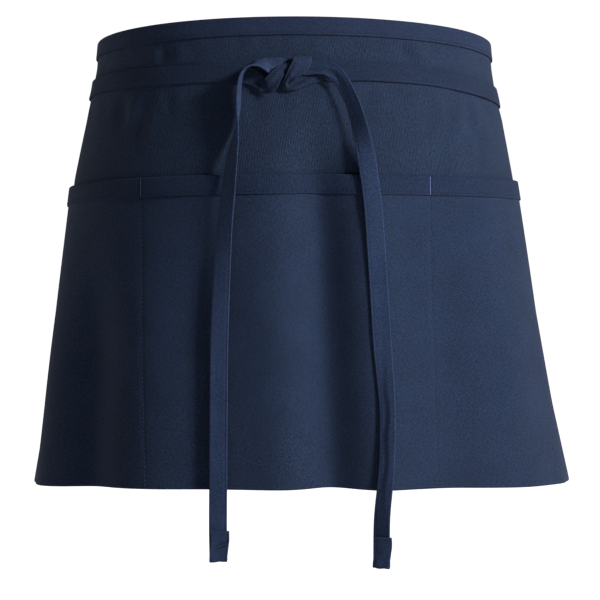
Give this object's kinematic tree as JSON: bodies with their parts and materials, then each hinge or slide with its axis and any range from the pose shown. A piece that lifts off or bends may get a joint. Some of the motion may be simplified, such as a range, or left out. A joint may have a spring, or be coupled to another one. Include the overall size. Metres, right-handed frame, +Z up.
{
  "type": "waist apron",
  "caption": "Short waist apron as worn: wrapped cloth panel with a folded-up divided pocket, a turned mouth band, a bound top edge and two tape ties in a half knot with hanging ends.",
  "frame": {"origin": "centre of the waist opening, level with the middle of the panel's top edge at the front", "axes": "+Z up along the waist's axis, -Y the front, +X the wearer's left"},
  "size_m": [0.3701, 0.2425, 0.3548],
  "materials": {
    "body_cloth": "matt twill, face side out",
    "pocket_cloth": "matt twill, reverse side out",
    "band_cloth": "matt twill, face side out",
    "binding_tape": "matt folded twill tape, stitched",
    "tie_tape": "matt folded twill tape, stitched"
  },
  "bodies": {
    "root": {"body_panel": "body_cloth", "pocket_panel": "pocket_cloth", "pocket_mouth_band": "band_cloth", "waist_binding": "binding_tape", "tie_left": "tie_tape", "tie_right": "tie_tape"}
  },
  "joints": []
}
